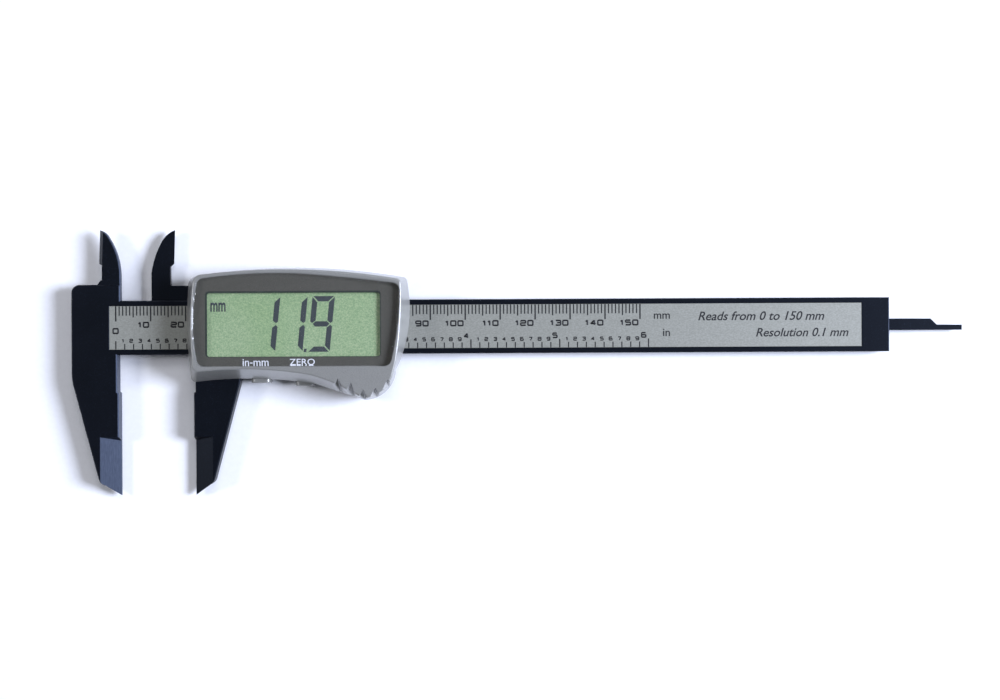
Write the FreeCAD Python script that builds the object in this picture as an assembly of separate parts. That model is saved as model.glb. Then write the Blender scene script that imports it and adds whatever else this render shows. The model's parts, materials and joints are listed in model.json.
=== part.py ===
import FreeCAD, Part
import math
import os

# A 150 mm digital caliper in black fibre-filled composite, with a large display.
# Units are millimetres. While the parts are made, X runs along the beam and is 0 at the
# fixed measuring face, Y is 0 on the beam's centre line and Z is 0 on the surface that
# the caliper lies on, with the display facing +Z. PLACE then moves everything, so that
# the origin is at the bottom centre of the whole caliper.

V = FreeCAD.Vector

# ---------------------------------------------------------------- driving dimensions
OPENING = 21.5            # jaw opening as stored
BEAM_HALF = 7.75          # half the beam's width
BEAM_END = 220.6          # the beam's free end
JAW_BODY_LEFT = -13.5     # back edge of the fixed jaw
JAW_TIP_Y = -48.1         # points of the outside jaws
RUN_GAP = 0.1             # running clearance between the slider and the beam

Z_COVER = 1.5             # inner face of the slider's rear cover
Z_BACK = Z_COVER + RUN_GAP    # back face of the beam and jaws
BEAM_T = 3.8              # thickness of the beam and the outside jaws
Z_FRONT = Z_BACK + BEAM_T
ARM_T = 1.5               # thickness of the moving inside jaw, which passes behind the fixed one
NIB_Z = (Z_BACK + ARM_T + RUN_GAP, 4.9)     # back and front of the fixed inside jaw
Z_PART = Z_FRONT + RUN_GAP    # parting plane between the black slider and the silver housing
WEB_T = 0.6               # front web of the slider, over the beam
Z_BOARD = Z_PART + WEB_T  # underside of the main board
BOARD_T = 0.8
Z_PARTS = Z_BOARD + BOARD_T   # component side of the main board
Z_FACE = 13.8             # front of the housing's rim

# scale strip in the front of the beam
SCALE_X = (-2.6, 212.6)
SCALE_HALF = 6.2
SCALE_DEPTH = 1.0
SCALE_BOARD_T = 0.8
LABEL_T = 0.12

# depth rod and its groove in the back of the beam
ROD_HALF = 1.65
ROD_T = 1.2
ROD_LEFT = 27.0
ROD_TIP_LENGTH = 7.2
ROD_STEP = 1.5

# outside jaws
JAW_STEP_Y = (-18.3, -18.7)   # where the relieved face steps out to the measuring face
JAW_RELIEF = 0.45
TIP_TOP_Y = -31.25        # upper end of the thinned tip, at the front
TIP_RUN_OUT = 1.15        # and how much lower that end is where the cut is deepest
TIP_WIDTH = 5.4
TIP_EDGE_T = 0.8          # thickness left at the measuring edge of the tip

# inside jaws
SHOULDER_Y = 12.35        # top of the fixed jaw's body
ARM_TOP_Y = 12.1          # top of the moving jaw's arm
ARM_BACK = -12.5          # its back edge, from the outside measuring face
NIB_BACK = 0.5            # right-hand face of the fixed inside jaw
NIB_FOOT = (-5.95, 18.45)     # lower end of the inside measuring edge, from the outside measuring face
NIB_TIP = (-5.65, 28.1)       # and its upper end: the edge leans a little
NIB_RELIEF = 1.15         # how far the jaw is set back below that edge

# display window and liquid-crystal cell
MASK_OPENING = (26.85, 75.45, -8.4, 9.55)
GLASS = (25.2, 77.2, -9.9, 11.2)
Z_GLASS = 9.2             # back of the rear glass
GLASS_T = 1.0
Z_LEDGE = 12.0            # floor of the pocket that holds the window
WINDOW_T = 1.3
WINDOW_CORNER_R = 2.1
WINDOW_GAP = 0.2          # groove all round the window

# thumb grip: each flute's X, and its root's Y at the parting plane and at the front
FLUTES = ((63.6, -18.35, -14.6), (67.2, -19.7, -15.9), (70.6, -20.85, -17.7), (74.1, -20.25, -17.2),
          (77.6, -17.8, -15.0))
FLUTE_ROOT = 0.15         # half the width of a flute's root
FLUTE_HALF = 1.35         # and of its mouth, which is FLUTE_DEPTH below the root
FLUTE_DEPTH = 2.6
GRIP_X = 59.0             # beyond here and below GRIP_Y the front is solid, but for the cell's room
GRIP_Y = -15.4

# buttons
BUTTON_X = {"unit": 40.65, "zero": 53.3}
BUTTON_TIP_Y = {"unit": -15.95, "zero": -16.85}
BUTTON_WALL_Y = {"unit": -13.1, "zero": -14.0}    # inner face of the wall that the button passes
BUTTON_WIDTH = 5.8
BUTTON_Z = (2.6, 5.2)
BUTTON_CROWN = 1.5        # rounding of its two front edges
SWITCH_FACE_Y = -11.6     # where a switch's plunger comes out of its case
PLUNGER_Y = -12.2         # where the plunger meets the button

# button cell
CELL = (70.9, -14.1)
CELL_R = 5.8
CELL_T = 5.4
Z_CELL = 1.55
DOOR_X = (64.6, 77.2)
DOOR_T = 1.2

# screws that hold the rear cover, the slider and the housing together
SCREWS = ((34.5, 13.75), (67.0, 13.75), (26.8, -12.6), (61.2, -13.2))
SCREW_R = 0.85
SCREW_TOP = 8.3

# the finished frame: bottom centre of the caliper as stored
PLACE = V(-(JAW_BODY_LEFT + BEAM_END + OPENING) / 2, -(JAW_TIP_Y + NIB_TIP[1]) / 2, 0)


# ---------------------------------------------------------------- helpers
def box(x0, x1, y0, y1, z0, z1):
    return Part.makeBox(x1 - x0, y1 - y0, z1 - z0, V(x0, y0, z0))


def rod(x, y, z0, z1, r):
    return Part.makeCylinder(r, z1 - z0, V(x, y, z0))


def outline(start, *steps, z=0.0):
    """A closed wire: each step is an end point, or (point on the arc, end point)."""
    edges, here = [], V(start[0], start[1], z)
    for step in steps:
        arc = isinstance(step[0], tuple)
        end = step[1] if arc else step
        there = V(end[0], end[1], z)
        if arc:
            on = V(step[0][0], step[0][1], z)
            edges.append(Part.Arc(here, on, there).toShape())
        else:
            edges.append(Part.LineSegment(here, there).toShape())
        here = there
    first = V(start[0], start[1], z)
    if here.distanceToPoint(first) > 1e-6:
        edges.append(Part.LineSegment(here, first).toShape())
    return Part.Wire(edges)


def prism(wire, z0, z1):
    face = Part.Face(wire)
    face.translate(V(0, 0, z0 - wire.BoundBox.ZMin))
    return face.extrude(V(0, 0, z1 - z0))


def inset(wire, distance):
    return wire.makeOffset2D(-distance, 0, False, False, True)


def rounded_box(x0, x1, y0, y1, z0, z1, r):
    block = box(x0, x1, y0, y1, z0, z1)
    upright = [e for e in block.Edges if e.BoundBox.ZLength > (z1 - z0) / 2]
    return block.makeFillet(r, upright)


def edges_at(shape, z, keep=lambda box: True):
    """Edges lying in the plane at height z, as far as keep(bound box) is true."""
    flat = [e for e in shape.Edges if abs(e.BoundBox.ZMin - z) < 1e-4 and abs(e.BoundBox.ZMax - z) < 1e-4]
    return [e for e in flat if keep(e.BoundBox)]


def group(solids):
    return Part.makeCompound(solids)


# ---------------------------------------------------------------- outlines of the display head
def base_outline(z):
    """The housing's foot, at the parting plane."""
    return outline((20.3, 14.4), ((19.75, -1.0), (20.9, -15.7)), ((38.0, -14.65), (56.0, -16.2)),
                   ((63.4, -18.6), (70.6, -20.9)), ((76.4, -18.6), (79.4, -12.2)), (80.6, -9.7),
                   ((83.4, 4.1), (82.5, 14.0)), ((48.1, 16.9), (20.3, 14.4)), z=z)


def face_outline(z):
    """The housing's front edge."""
    return outline((23.3, 14.5), ((22.35, 0.5), (23.0, -12.6)), ((38.0, -11.85), (56.0, -13.6)),
                   ((63.6, -16.4), (70.5, -20.2)), ((76.3, -17.9), (79.2, -13.0)), (80.0, -9.7),
                   ((81.25, 2.0), (81.4, 13.2)), ((48.0, 16.1), (23.3, 14.5)), z=z)


def window_outline(z):
    return outline((24.3, 13.5), ((22.95, 0.5), (24.3, -11.05)), (78.2, -11.05), ((80.3, 0.3), (80.9, 11.9)),
                   ((66.0, 13.7), (52.0, 14.9)), ((38.0, 14.85), (24.3, 13.5)), z=z)


def window_prism(z0, z1, grow=0.0):
    """The window's shape with rounded corners, larger by grow all round."""
    wire = window_outline(0)
    if grow > 0:
        wire = wire.makeOffset2D(grow, 2, False, False, True)
    block = prism(wire, z0, z1)
    upright = [e for e in block.Edges if e.BoundBox.ZLength > (z1 - z0) / 2]
    corners = [e for e in upright if not 30 < e.BoundBox.XMin < 70]
    return block.makeFillet(WINDOW_CORNER_R + grow, corners)


def head_prism(z0, z1, distance):
    """The foot outline, inset, as a straight prism."""
    return prism(inset(base_outline(0), distance), z0, z1)


# ---------------------------------------------------------------- jaws
def jaw_points(face, sign, top_y):
    """One outside jaw, from the top of its relieved face down, round the tip and up its back.

    face is the measuring plane's X; sign is -1 for the fixed jaw and +1 for the moving one.
    """
    def at(depth, y):
        return (face + sign * depth, y)
    return [at(JAW_RELIEF, top_y), at(JAW_RELIEF, JAW_STEP_Y[0]), at(0, JAW_STEP_Y[1]),
            at(0, JAW_TIP_Y), at(4.2, -45.1), (at(5.4, -44.3), at(6.0, -43.0)),
            at(12.75, -17.6), (at(13.3, -15.4), at(-JAW_BODY_LEFT, -13.0))]


def tip_slope(face, sign):
    """What is cut from the front of a jaw's tip, so that it thins towards the measuring face."""
    deep, shallow = Z_BACK + TIP_EDGE_T, Z_FRONT - 0.15
    slope = prism(outline((-1, deep), (0, deep), (TIP_WIDTH, shallow), (TIP_WIDTH, Z_FRONT + 1),
                          (-1, Z_FRONT + 1)), 0, TIP_TOP_Y - JAW_TIP_Y + 2)
    slope.rotate(V(0, 0, 0), V(1, 0, 0), 90)
    slope.translate(V(0, TIP_TOP_Y, 0))
    end = Part.makePolygon([V(-2, TIP_TOP_Y - TIP_RUN_OUT, deep), V(-2, TIP_TOP_Y, Z_FRONT),
                            V(-2, TIP_TOP_Y + 1, deep), V(-2, TIP_TOP_Y - TIP_RUN_OUT, deep)])
    slope = slope.cut(Part.Face(end).extrude(V(TIP_WIDTH + 3, 0, 0)))
    if sign < 0:
        slope = slope.mirror(V(0, 0, 0), V(1, 0, 0))
    slope.translate(V(face, 0, 0))
    return slope


def edge_bevel(x, z_edge, z_far, side):
    """Takes an inside jaw down to an edge at height z_edge. side is +1 where the jaw lies at +X of it."""
    run = 1.25
    wedge = prism(outline((-2, z_edge), (0, z_edge), (run, z_far), (run, 2 * z_far - z_edge),
                          (-2, 2 * z_far - z_edge)), 0, NIB_TIP[1] - NIB_FOOT[1] + 2)
    wedge.rotate(V(0, 0, 0), V(1, 0, 0), 90)
    if side < 0:
        wedge = wedge.mirror(V(0, 0, 0), V(1, 0, 0))
    wedge.translate(V(0, NIB_TIP[1] - NIB_FOOT[1] + 1, 0))
    lean = math.degrees(math.atan2(NIB_TIP[0] - NIB_FOOT[0], NIB_TIP[1] - NIB_FOOT[1]))
    wedge.rotate(V(0, 0, 0), V(0, 0, 1), -lean)
    wedge.translate(V(x, NIB_FOOT[1], 0))
    return wedge


# ---------------------------------------------------------------- parts of the beam
def make_beam():
    left, top = JAW_BODY_LEFT, SHOULDER_Y
    front = outline((NIB_BACK, BEAM_HALF), (BEAM_END, BEAM_HALF), (BEAM_END, -BEAM_HALF),
                    *jaw_points(0, -1, -BEAM_HALF), (left, top - 2.3),
                    ((left + 0.67, top - 0.67), (left + 2.3, top)), (NIB_BACK, top))
    solid = prism(front, Z_BACK, Z_FRONT)
    solid = solid.makeChamfer(0.3, edges_at(solid, Z_FRONT))
    nib = prism(outline((NIB_BACK, top - 1), (NIB_BACK, 15.3), ((-0.7, 21.7), (-2.8, 26.0)),
                        ((-4.0, 27.4), NIB_TIP), NIB_FOOT, (NIB_FOOT[0] + NIB_RELIEF, 18.05),
                        (NIB_FOOT[0] + NIB_RELIEF, 13.7), (-5.3, 13.55), (-6.1, top), (-6.1, top - 1)),
                NIB_Z[0], NIB_Z[1])
    nib = nib.makeChamfer(0.25, edges_at(nib, NIB_Z[1], lambda b: b.XMax > NIB_BACK - 0.1 and b.YMax > top))
    nib = nib.cut(edge_bevel(NIB_FOOT[0], NIB_Z[0] + 0.15, NIB_Z[1], 1))
    arm_room = box(left - 1, NIB_BACK + 1, BEAM_HALF, top + 1, Z_BACK - 1, NIB_Z[0])
    recess = box(SCALE_X[0] - 0.15, SCALE_X[1] + 0.15, -SCALE_HALF - 0.1, SCALE_HALF + 0.1,
                 Z_FRONT - SCALE_DEPTH, Z_FRONT + 1)
    groove = box(ROD_LEFT - OPENING - 1, BEAM_END + 1, -ROD_HALF - 0.15, ROD_HALF + 0.15,
                 Z_BACK - 1, Z_BACK + ROD_T + 0.3)
    holes = [rod(x, y, Z_BACK - 1, Z_BACK + 2.4, 0.72) for x, y in end_stop_holes()]
    return solid.cut(arm_room).fuse(nib).cut([tip_slope(0, -1), recess, groove] + holes).removeSplitter()


def end_stop_holes():
    return [(BEAM_END - 3.6, y) for y in (-4.9, 4.9)]


def make_end_stop():
    plate = rounded_box(BEAM_END - 7.0, BEAM_END, -BEAM_HALF + 0.3, BEAM_HALF - 0.3, 0.4, Z_BACK, 1.0)
    for x, y in end_stop_holes():
        sink = Part.makeCone(1.35, 0.75, 0.6, V(x, y, 0.4))
        plate = plate.cut([sink, rod(x, y, 0, 3, 0.75)])
    return plate


def make_end_stop_screws():
    screws = []
    for x, y in end_stop_holes():
        head = Part.makeCone(1.25, 0.7, 0.55, V(x, y, 0.45))
        shank = rod(x, y, 0.9, Z_BACK + 2.2, 0.7)
        screws.append(head.fuse(shank).cut(cross_slot(x, y, 0.45, 1.5)).removeSplitter())
    return group(screws)


def cross_slot(x, y, z, width):
    """The cross recess in the head of a small screw whose top is at height z and faces down."""
    arm = box(x - width / 2, x + width / 2, y - 0.14, y + 0.14, z - 0.1, z + 0.35)
    other = box(x - 0.14, x + 0.14, y - width / 2, y + width / 2, z - 0.1, z + 0.35)
    return arm.fuse(other)


def make_scale_board():
    z = Z_FRONT - SCALE_DEPTH
    return box(SCALE_X[0], SCALE_X[1], -SCALE_HALF, SCALE_HALF, z, z + SCALE_BOARD_T - 0.035)


def make_scale_electrodes():
    """The row of copper plates that the sensor reads, every 5.08 mm."""
    z = Z_FRONT - SCALE_DEPTH + SCALE_BOARD_T - 0.035
    pitch, count = 5.08, 41
    first = SCALE_X[0] + 3.0
    lefts = [first + n * pitch for n in range(count)]
    return group([box(left, left + pitch / 2, -3.6, 3.6, z, z + 0.035) for left in lefts])


def make_scale_label():
    z = Z_FRONT - SCALE_DEPTH + SCALE_BOARD_T
    return box(SCALE_X[0], SCALE_X[1], -SCALE_HALF, SCALE_HALF, z, z + LABEL_T)


# ---------------------------------------------------------------- parts of the slider
def chassis_block():
    """The slider's body between the rear cover and the parting plane, before anything is cut from it."""
    block = head_prism(Z_COVER, Z_PART, 0.4)
    above = box(0, OPENING + NIB_BACK + 0.1, BEAM_HALF, 40, 0, 10)
    below = box(0, OPENING + JAW_RELIEF, -40, -BEAM_HALF, 0, 10)
    passage = box(0, 100, -BEAM_HALF - RUN_GAP, BEAM_HALF + RUN_GAP, 0, Z_PART + 1)
    return block.cut([above, below, passage])


def moving_nib():
    """The moving inside jaw and the arm that carries it, behind the fixed jaw.

    Its outline starts at the back of the arm and goes round by the tip.
    """
    low, relief = BEAM_HALF + RUN_GAP, NIB_FOOT[0] - NIB_RELIEF
    arm = prism(outline((ARM_BACK, low), (ARM_BACK, 15.6), ((ARM_BACK + 0.9, 19.8), (ARM_BACK + 2.8, 24.4)),
                        ((ARM_BACK + 4.5, 26.7), NIB_TIP), NIB_FOOT, (relief, 17.6), (relief, 12.8),
                        ((relief + 0.2, 12.25), (relief + 0.75, ARM_TOP_Y)), (5, ARM_TOP_Y), (5, low)),
                Z_BACK, Z_BACK + ARM_T)
    arm.translate(V(OPENING, 0, 0))
    return arm.cut(edge_bevel(OPENING + NIB_FOOT[0], Z_BACK + ARM_T - 0.15, Z_BACK, -1))


def make_slider_frame():
    face, low = OPENING, -BEAM_HALF - RUN_GAP
    jaw = prism(outline(*jaw_points(face, 1, low), (face - JAW_BODY_LEFT, low)), Z_BACK, Z_FRONT)
    jaw = jaw.makeChamfer(0.3, edges_at(jaw, Z_FRONT, lambda b: b.YMin < low - 0.5))
    web = head_prism(Z_PART, Z_BOARD, 1.9)
    web = web.cut([box(30, 74, -5.6, 5.6, 0, 20), rod(CELL[0], CELL[1], 0, 20, CELL_R + 0.15)])
    frame = chassis_block().fuse([jaw.cut(tip_slope(face, 1)), moving_nib(), web])
    cuts = [
        box(28, 76, BEAM_HALF, BEAM_HALF + 0.75, 2.0, 5.0),
        box(37.5, 64, 10.4, 14.4, 0, Z_PART - 1.2),
        box(24, 31.5, 10.4, 13.4, 0, Z_PART - 1.2),
        box(70, 79.5, 10.4, 12.6, 0, Z_PART - 1.2),
        rod(CELL[0], CELL[1], 0, 20, CELL_R + 0.15),
        box(68.8, 73.0, -8.6, -BEAM_HALF + 1, 0, 20),
    ]
    for name, x in BUTTON_X.items():
        wall = BUTTON_WALL_Y[name]
        half = BUTTON_WIDTH / 2 + 0.12
        cuts.append(box(x - 4.2, x + 4.2, wall, -9.9, 0, 20))
        cuts.append(box(x - half, x + half, wall - 5, wall + 1, BUTTON_Z[0] - 0.12, BUTTON_Z[1] + 0.12))
    cuts += [rod(x, y, 0, 20, SCREW_R + 0.15) for x, y in SCREWS]
    return frame.cut(cuts).removeSplitter()


def make_rear_cover():
    plate = head_prism(0.3, Z_COVER, 0.4).fuse(head_prism(0.0, 0.3, 0.7)).removeSplitter()
    door_room = box(DOOR_X[0] - 0.1, DOOR_X[1] + 0.1, -30, -BEAM_HALF - 0.55, -1, DOOR_T + 0.05)
    tongues = box(DOOR_X[0] - 0.7, DOOR_X[1] + 0.7, -30, -BEAM_HALF - 0.55, 0.45, 0.95)
    cell_room = rod(CELL[0], CELL[1], 0, 3, CELL_R + 0.15)
    cuts = [door_room, tongues, cell_room]
    for x, y in SCREWS:
        cuts += [rod(x, y, -1, 0.85, 1.75), rod(x, y, 0, 3, SCREW_R + 0.1)]
    for x, y in depth_rod_holes():
        cuts += [rod(x, y, -1, 0.65, 1.2), rod(x, y, 0, 3, 0.6)]
    return plate.cut(cuts)


def make_housing_screws():
    screws = []
    for x, y in SCREWS:
        head = rod(x, y, 0.2, 0.85, 1.6)
        shank = rod(x, y, 0.8, SCREW_TOP, SCREW_R)
        screws.append(head.fuse(shank).cut(cross_slot(x, y, 0.2, 1.7)).removeSplitter())
    return group(screws)


def depth_rod_holes():
    return [(ROD_LEFT + 3, 0), (ROD_LEFT + 11, 0)]


def make_depth_rod():
    tip = BEAM_END + OPENING
    step = tip - ROD_TIP_LENGTH
    z0 = Z_BACK + 0.05
    blade = prism(outline((ROD_LEFT, -ROD_HALF), (tip, -ROD_HALF), (tip, -ROD_HALF + 1.5),
                          (step, -ROD_HALF + 1.5), (step - ROD_STEP - 0.3, ROD_HALF), (ROD_LEFT, ROD_HALF)),
                  z0, z0 + ROD_T)
    pads = [rod(x, y, Z_COVER, z0, 1.3) for x, y in depth_rod_holes()]
    blade = blade.fuse(pads)
    return blade.cut([rod(x, y, 0, 4, 0.55) for x, y in depth_rod_holes()]).removeSplitter()


def make_depth_rod_screws():
    screws = []
    for x, y in depth_rod_holes():
        head = rod(x, y, 0.1, 0.65, 1.05)
        shank = rod(x, y, 0.6, Z_BACK + ROD_T, 0.5)
        screws.append(head.fuse(shank).cut(cross_slot(x, y, 0.1, 1.2)).removeSplitter())
    return group(screws)


def make_gib_spring():
    """A bowed strip of spring bronze that takes up the play above the beam."""
    low, high, t = BEAM_HALF + 0.03, BEAM_HALF + 0.55, 0.2
    bow = outline((28.4, high), ((52, low), (75.6, high)),
                  (75.6, high + t), ((52, low + t), (28.4, high + t)))
    return prism(bow, 2.2, 4.8)


def make_battery_door():
    left, right, top = DOOR_X[0], DOOR_X[1], -BEAM_HALF - 0.7
    plate = head_prism(0.0, DOOR_T, 0.7).common(box(left, right, -30, top, -1, 5))
    tongues = head_prism(0.5, 0.9, 0.7).common(box(left - 0.6, right + 0.6, -30, top, -1, 5))
    door = plate.fuse(tongues).removeSplitter()
    ribs = [box(CELL[0] - 2.4, CELL[0] + 2.4, y, y + 0.5, -1, 0.25) for y in (-18.4, -17.4, -16.4)]
    return door.cut(ribs)


# ---------------------------------------------------------------- button cell and its contacts
def make_cell_can():
    x, y = CELL
    can = rod(x, y, Z_CELL, Z_CELL + CELL_T - 0.5, CELL_R)
    can = can.makeFillet(0.45, edges_at(can, Z_CELL))
    return can.cut(rod(x, y, Z_CELL + 0.25, 20, CELL_R - 0.25))


def make_cell_cap():
    x, y = CELL
    cap = rod(x, y, Z_CELL + 1.2, Z_CELL + CELL_T, 4.6)
    return cap.makeFillet(0.4, edges_at(cap, Z_CELL + CELL_T))


def make_cell_seal():
    x, y = CELL
    ring = rod(x, y, Z_CELL + 0.3, Z_CELL + CELL_T - 0.35, CELL_R - 0.28)
    return ring.cut(rod(x, y, Z_CELL + 1.2, 20, 4.62))


def make_positive_contact():
    z = Z_PARTS
    return box(69.2, 72.6, -8.27, -8.09, 3.0, z + 0.15).fuse(
        box(69.2, 72.6, -8.27, -6.2, z, z + 0.15)).removeSplitter()


def make_negative_contact():
    """A leaf that reaches from the board over the cell's cap."""
    z = Z_PARTS
    top = Z_CELL + CELL_T
    foot = box(75.0, 77.6, -7.7, -5.6, z, z + 0.15)
    leaf = prism(outline((75.0, -6.6), (77.6, -6.6), (73.2, -14.8), (70.6, -14.8)), z + 0.05, z + 0.2)
    dimple = rod(72.0, -13.9, top + 0.01, z + 0.2, 0.7)
    return foot.fuse([leaf, dimple]).removeSplitter()


# ---------------------------------------------------------------- electronics
def make_main_board():
    plate = prism(outline((23.2, -12.4), (63.6, -12.4), (63.6, -7.8), (79.2, -7.8), (80.3, 3.0),
                          (79.4, 11.6), (71.0, 13.0), (24.0, 13.0)), Z_BOARD, Z_PARTS)
    holes = [rod(x, y, 0, 20, SCREW_R + 0.2) for x, y in SCREWS]
    return plate.cut(holes)


def make_sensor_electrodes():
    """Copper plates under the main board, which face the scale's plates."""
    lefts = [33.0 + n * 1.27 for n in range(32)]
    return group([box(left, left + 0.9, -3.6, 3.6, Z_BOARD - 0.035, Z_BOARD) for left in lefts])


def make_controller_chip():
    """A dome of black epoxy over the bare chip."""
    x, y, r, h = 50.0, 1.0, 4.2, 1.1
    ball = (r * r + h * h) / (2 * h)
    dome = Part.makeSphere(ball, V(x, y, Z_PARTS + h - ball))
    return dome.common(box(x - r - 1, x + r + 1, y - r - 1, y + r + 1, Z_PARTS, Z_PARTS + 5))


def make_capacitors():
    return group([box(x, x + 1.6, y, y + 0.8, Z_PARTS, Z_PARTS + 0.75)
                  for x, y in ((33, 4.5), (33, 2.5), (67, 5.0), (66, -3.5), (41, -4.5))])


def make_resistors():
    return group([box(x, x + 1.6, y, y + 0.8, Z_PARTS, Z_PARTS + 0.45)
                  for x, y in ((36, 4.5), (36, 2.5), (67, 3.0), (66, -5.5), (57, -5.0), (41, -6.3))])


def make_crystal():
    can = Part.makeCylinder(0.95, 5.6, V(58.5, 6.0, Z_PARTS + 0.96), V(1, 0, 0))
    return can


def make_lcd_front_glass():
    x0, x1, y0, y1 = GLASS
    return box(x0, x1, y0, y1, Z_GLASS + GLASS_T, Z_GLASS + 2 * GLASS_T)


def make_lcd_rear_glass():
    x0, x1, y0, y1 = GLASS
    return box(x0, x1, y0 + 1.7, y1 - 1.7, Z_GLASS, Z_GLASS + GLASS_T)


def make_lcd_reflector():
    x0, x1, y0, y1 = GLASS
    return box(x0 + 0.6, x1 - 0.6, y0 + 1.9, y1 - 1.9, Z_GLASS - 0.2, Z_GLASS)


def make_lcd_polarizer():
    x0, x1, y0, y1 = GLASS
    z = Z_GLASS + 2 * GLASS_T
    return box(x0 + 1.35, x1 - 1.35, y0 + 1.25, y1 - 1.25, z, z + 0.2)


def make_elastomer(x1, y0, y1):
    """A zebra strip: it carries the segment signals from the board up to the front glass."""
    return box(GLASS[0] + 1.4, x1, y0, y1, Z_PARTS, Z_GLASS + GLASS_T)


def make_lcd_frame():
    x0, x1, y0, y1 = GLASS
    ring = rounded_box(x0 - 1.0, x1 + 1.0, y0 - 0.85, y1 + 0.9, Z_PARTS, Z_GLASS + 2 * GLASS_T, 0.6)
    seat = box(x0 - 0.05, x1 + 0.05, y0 - 0.05, y1 + 0.05, Z_GLASS + GLASS_T, 20)
    well = box(x0 + 0.55, x1 - 0.55, y0 + 0.15, y1 - 0.15, 0, 20)
    rest = box(x0 - 0.05, x1 + 0.05, y0 + 1.65, y1 - 1.65, Z_GLASS - 0.25, 20)
    over_cell = box(64.2, 80, -11.5, -5.0, 0, Z_PARTS + 0.5)
    return ring.cut([seat, well, rest, over_cell])


def make_lcd_gasket():
    x0, x1, y0, y1 = GLASS
    z = Z_GLASS + 2 * GLASS_T
    ring = box(x0 + 0.1, x1 - 0.1, y0 + 0.1, y1 - 0.1, z, z + 0.3)
    return ring.cut(box(x0 + 1.3, x1 - 1.3, y0 + 1.2, y1 - 1.2, 0, 20))


# ---------------------------------------------------------------- display window and housing
def make_display_window():
    z0 = Z_LEDGE + 0.2
    block = window_prism(z0, z0 + WINDOW_T)
    return block.makeChamfer(0.25, edges_at(block, z0 + WINDOW_T))


def make_window_mask():
    x0, x1, y0, y1 = MASK_OPENING
    z = Z_LEDGE + 0.1
    return window_prism(z, z + 0.1).cut(rounded_box(x0, x1, y0, y1, z - 1, z + 1, 0.6))


def make_window_adhesive():
    ring = window_prism(Z_LEDGE, Z_LEDGE + 0.1)
    return ring.cut(box(25.6, 77.0, -9.7, 10.9, 0, 20))


def foot_at(edge):
    """The lower end of an edge that rises from the parting plane."""
    return min((v.Point for v in edge.Vertexes), key=lambda p: p.z)


def make_front_housing():
    shell = Part.makeLoft([base_outline(Z_PART), face_outline(Z_FACE)], True, True)
    for foot_x, radius in ((20.3, 2.6), (20.9, 1.5), (82.5, 1.5)):
        corner = [e for e in shell.Edges if e.BoundBox.ZLength > 5 and abs(foot_at(e).x - foot_x) < 0.05]
        shell = shell.makeFillet(radius, corner)
    shell = shell.makeFillet(0.6, edges_at(shell, Z_FACE))
    foot_top = Z_PART + 1.6
    foot_room = head_prism(Z_PART - 1, foot_top, 1.7)
    main_room = prism(inset(face_outline(0), 1.0), Z_PART - 1, Z_LEDGE - 0.5)
    grip = box(GRIP_X, 90, -30, GRIP_Y, foot_top, Z_FACE)
    x0, x1, y0, y1 = GLASS
    view = rounded_box(x0 + 1.2, x1 - 1.2, y0 + 0.8, y1 - 0.9, 0, 20, 0.5)
    pocket = window_prism(Z_LEDGE, Z_FACE + 1, WINDOW_GAP)
    posts = [rod(x, y, Z_PARTS, Z_LEDGE - 0.3, 1.6) for x, y in SCREWS]
    solid_shell = shell.copy()
    shell = shell.cut([foot_room, main_room.cut(grip).cut(foot_room)])
    shell = shell.fuse([p.common(solid_shell) for p in posts])
    tunnels = [rod(x, y, 0, SCREW_TOP + 0.3, SCREW_R + 0.02) for x, y in SCREWS]
    cell_room = rod(CELL[0], CELL[1], 0, Z_CELL + CELL_T + 0.25, CELL_R + 0.15)
    return shell.cut([view, pocket, cell_room] + tunnels + grip_flutes()).removeSplitter()


def grip_flutes():
    """Five V-shaped flutes across the edge of the thumb grip, deepest at the front."""
    flutes = []
    for x, foot_y, top_y in FLUTES:
        run = (top_y - foot_y) / (Z_FACE - Z_PART)
        ends = []
        for z in (Z_PART - 1, Z_FACE + 1):
            y = foot_y + run * (z - Z_PART)
            ends.append(outline((x - FLUTE_ROOT, y), (x - FLUTE_HALF, y - FLUTE_DEPTH),
                                (x + FLUTE_HALF, y - FLUTE_DEPTH), (x + FLUTE_ROOT, y), z=z))
        flutes.append(Part.makeLoft(ends, True, True))
    return flutes


# ---------------------------------------------------------------- buttons and switches
def make_button(name):
    x, wall, tip = BUTTON_X[name], BUTTON_WALL_Y[name], BUTTON_TIP_Y[name]
    half, (z0, z1) = BUTTON_WIDTH / 2, BUTTON_Z
    cap = box(x - half, x + half, tip, wall + 0.3, z0, z1)
    crown = [e for e in cap.Edges if e.BoundBox.YLength > 1 and e.BoundBox.ZMin > z1 - 0.01]
    cap = cap.makeFillet(BUTTON_CROWN, crown)
    ends = [e for e in cap.Edges if abs(e.BoundBox.YMax - tip) < 1e-4]
    cap = cap.makeFillet(0.35, ends)
    flange = box(x - half - 0.6, x + half + 0.6, wall + 0.05, wall + 0.75, z0 - 0.35, z1 + 0.3)
    stem = box(x - 1.0, x + 1.0, wall + 0.5, PLUNGER_Y, z0 + 0.5, z1 - 0.5)
    return cap.fuse([flange, stem]).removeSplitter()


def make_switch_case(name):
    x = BUTTON_X[name]
    case = box(x - 2.3, x + 2.3, SWITCH_FACE_Y, -9.95, 2.6, Z_BOARD)
    hole = Part.makeCylinder(0.8, 1.4, V(x, SWITCH_FACE_Y + 1.4, 3.9), V(0, -1, 0))
    return case.cut(hole)


def make_switch_plunger(name):
    x = BUTTON_X[name]
    top = SWITCH_FACE_Y + 0.8
    return Part.makeCylinder(0.7, top - PLUNGER_Y, V(x, top, 3.9), V(0, -1, 0))


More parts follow.
